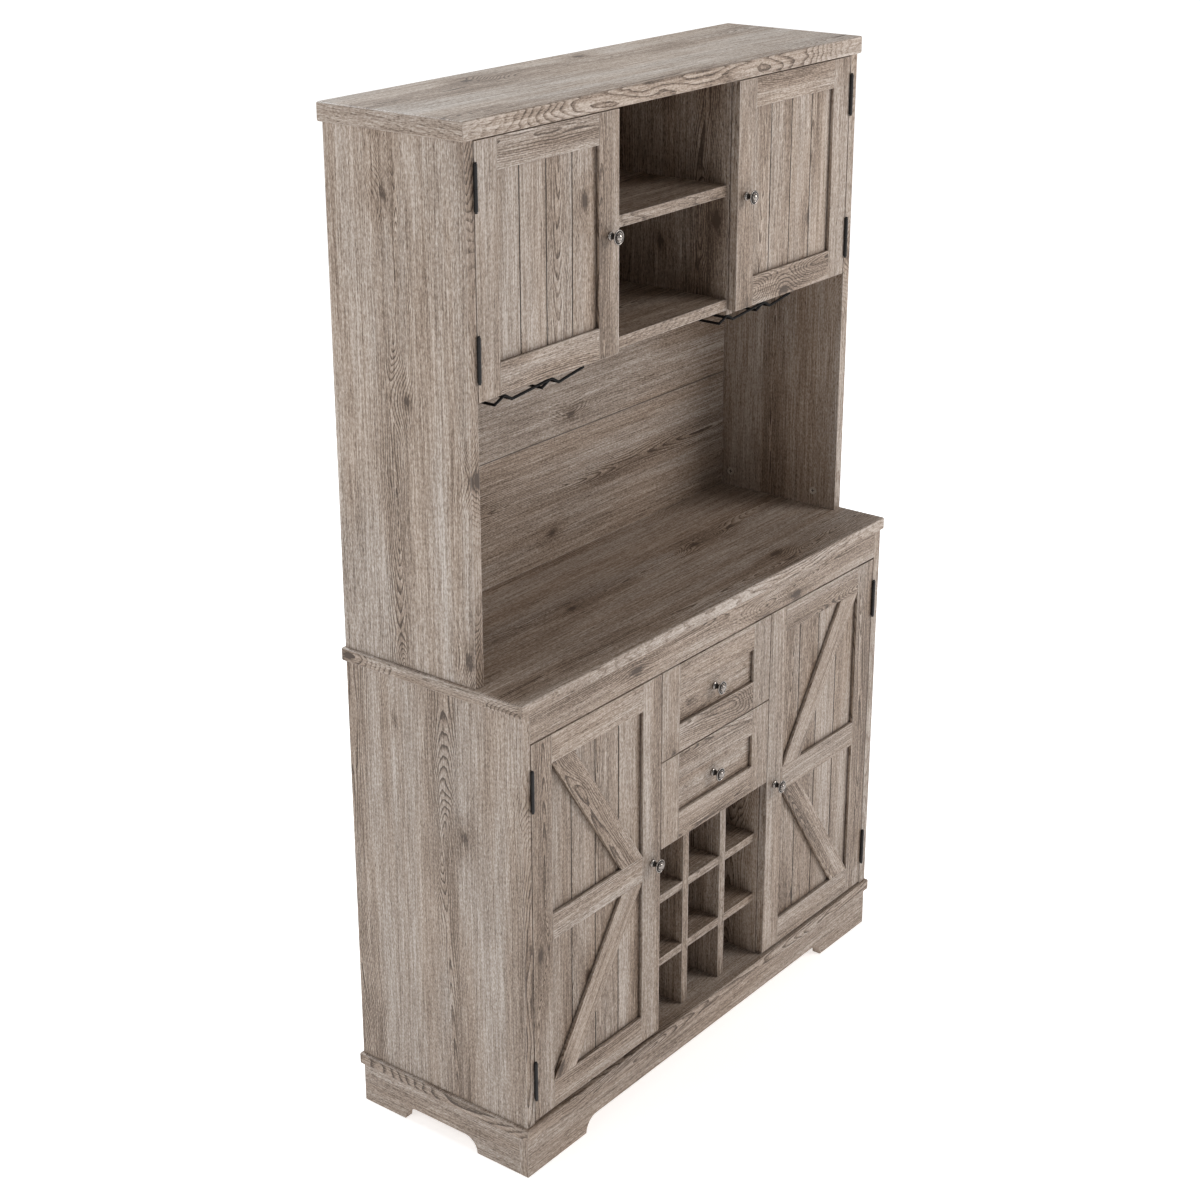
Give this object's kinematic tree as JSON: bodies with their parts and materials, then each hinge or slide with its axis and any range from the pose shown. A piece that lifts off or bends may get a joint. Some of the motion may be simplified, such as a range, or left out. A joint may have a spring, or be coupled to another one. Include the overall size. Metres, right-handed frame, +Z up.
{
  "type": "coffee bar cabinet",
  "caption": "Tall coffee bar cabinet: a base with braced doors, drawers and a bottle rack, and a shallower hutch with doors, open shelves and stemware racks.",
  "frame": {"origin": "bottom centre of the bounding box, on the floor", "axes": "+Z up, +X to the right seen from the front, +Y towards the wall behind; the doors and drawers face -Y"},
  "size_m": [1.107, 0.4098, 1.8],
  "materials": {
    "oak_laminate": "washed grey-brown oak laminate, matt",
    "back_board": "thin printed board, matt",
    "knob_metal": "aged nickel, satin",
    "black_metal": "black, satin"
  },
  "bodies": {
    "cabinet": {"plinth_frame": "oak_laminate", "floor_slab": "oak_laminate", "base_side_left": "oak_laminate", "base_side_right": "oak_laminate", "base_partition_left": "oak_laminate", "base_partition_right": "oak_laminate", "counter_apron": "oak_laminate", "countertop": "oak_laminate", "base_back": "back_board", "drawer_deck": "oak_laminate", "drawer_divider": "oak_laminate", "wine_rack": "oak_laminate", "hutch_side_left": "oak_laminate", "hutch_side_right": "oak_laminate", "hutch_divider_left": "oak_laminate", "hutch_divider_right": "oak_laminate", "cupboard_bottom_left": "oak_laminate", "cupboard_bottom_right": "oak_laminate", "hutch_lower_shelf": "oak_laminate", "hutch_middle_shelf": "oak_laminate", "top_slab": "oak_laminate", "hutch_back_lower": "oak_laminate", "hutch_back_upper": "back_board", "stemware_rack_left": "black_metal", "stemware_rack_right": "black_metal", "base_left_door_lower_hinge_frame_half": "black_metal", "base_left_door_upper_hinge_frame_half": "black_metal", "base_right_door_lower_hinge_frame_half": "black_metal", "base_right_door_upper_hinge_frame_half": "black_metal", "hutch_left_door_lower_hinge_frame_half": "black_metal", "hutch_left_door_upper_hinge_frame_half": "black_metal", "hutch_right_door_lower_hinge_frame_half": "black_metal", "hutch_right_door_upper_hinge_frame_half": "black_metal"},
    "base_left_door": {"base_left_door_frame": "oak_laminate", "base_left_door_panel": "oak_laminate", "base_left_door_knob": "knob_metal", "base_left_door_lower_hinge_door_half": "black_metal", "base_left_door_upper_hinge_door_half": "black_metal"},
    "base_right_door": {"base_right_door_frame": "oak_laminate", "base_right_door_panel": "oak_laminate", "base_right_door_knob": "knob_metal", "base_right_door_lower_hinge_door_half": "black_metal", "base_right_door_upper_hinge_door_half": "black_metal"},
    "hutch_left_door": {"hutch_left_door_frame": "oak_laminate", "hutch_left_door_panel": "oak_laminate", "hutch_left_door_knob": "knob_metal", "hutch_left_door_lower_hinge_door_half": "black_metal", "hutch_left_door_upper_hinge_door_half": "black_metal"},
    "hutch_right_door": {"hutch_right_door_frame": "oak_laminate", "hutch_right_door_panel": "oak_laminate", "hutch_right_door_knob": "knob_metal", "hutch_right_door_lower_hinge_door_half": "black_metal", "hutch_right_door_upper_hinge_door_half": "black_metal"},
    "upper_drawer": {"upper_drawer_front": "oak_laminate", "upper_drawer_knob": "knob_metal", "upper_drawer_box": "oak_laminate"},
    "lower_drawer": {"lower_drawer_front": "oak_laminate", "lower_drawer_knob": "knob_metal", "lower_drawer_box": "oak_laminate"}
  },
  "joints": [
    {"name": "base_left_door_hinge", "type": "hinge", "parent": "cabinet", "child": "base_left_door", "pos_m": [-0.52475, -0.185, 0.458], "axis": [0, 0, -1], "range_deg": [0, 170]},
    {"name": "base_right_door_hinge", "type": "hinge", "parent": "cabinet", "child": "base_right_door", "pos_m": [0.52475, -0.185, 0.458], "axis": [0, 0, 1], "range_deg": [0, 170]},
    {"name": "hutch_left_door_hinge", "type": "hinge", "parent": "cabinet", "child": "hutch_left_door", "pos_m": [-0.52475, -0.091, 1.5656], "axis": [0, 0, -1], "range_deg": [0, 170]},
    {"name": "hutch_right_door_hinge", "type": "hinge", "parent": "cabinet", "child": "hutch_right_door", "pos_m": [0.52475, -0.091, 1.5656], "axis": [0, 0, 1], "range_deg": [0, 170]},
    {"name": "upper_drawer_slide", "type": "slide", "parent": "cabinet", "child": "upper_drawer", "axis": [0, -1, 0], "range_m": [0, 0.24]},
    {"name": "lower_drawer_slide", "type": "slide", "parent": "cabinet", "child": "lower_drawer", "axis": [0, -1, 0], "range_m": [0, 0.24]}
  ]
}
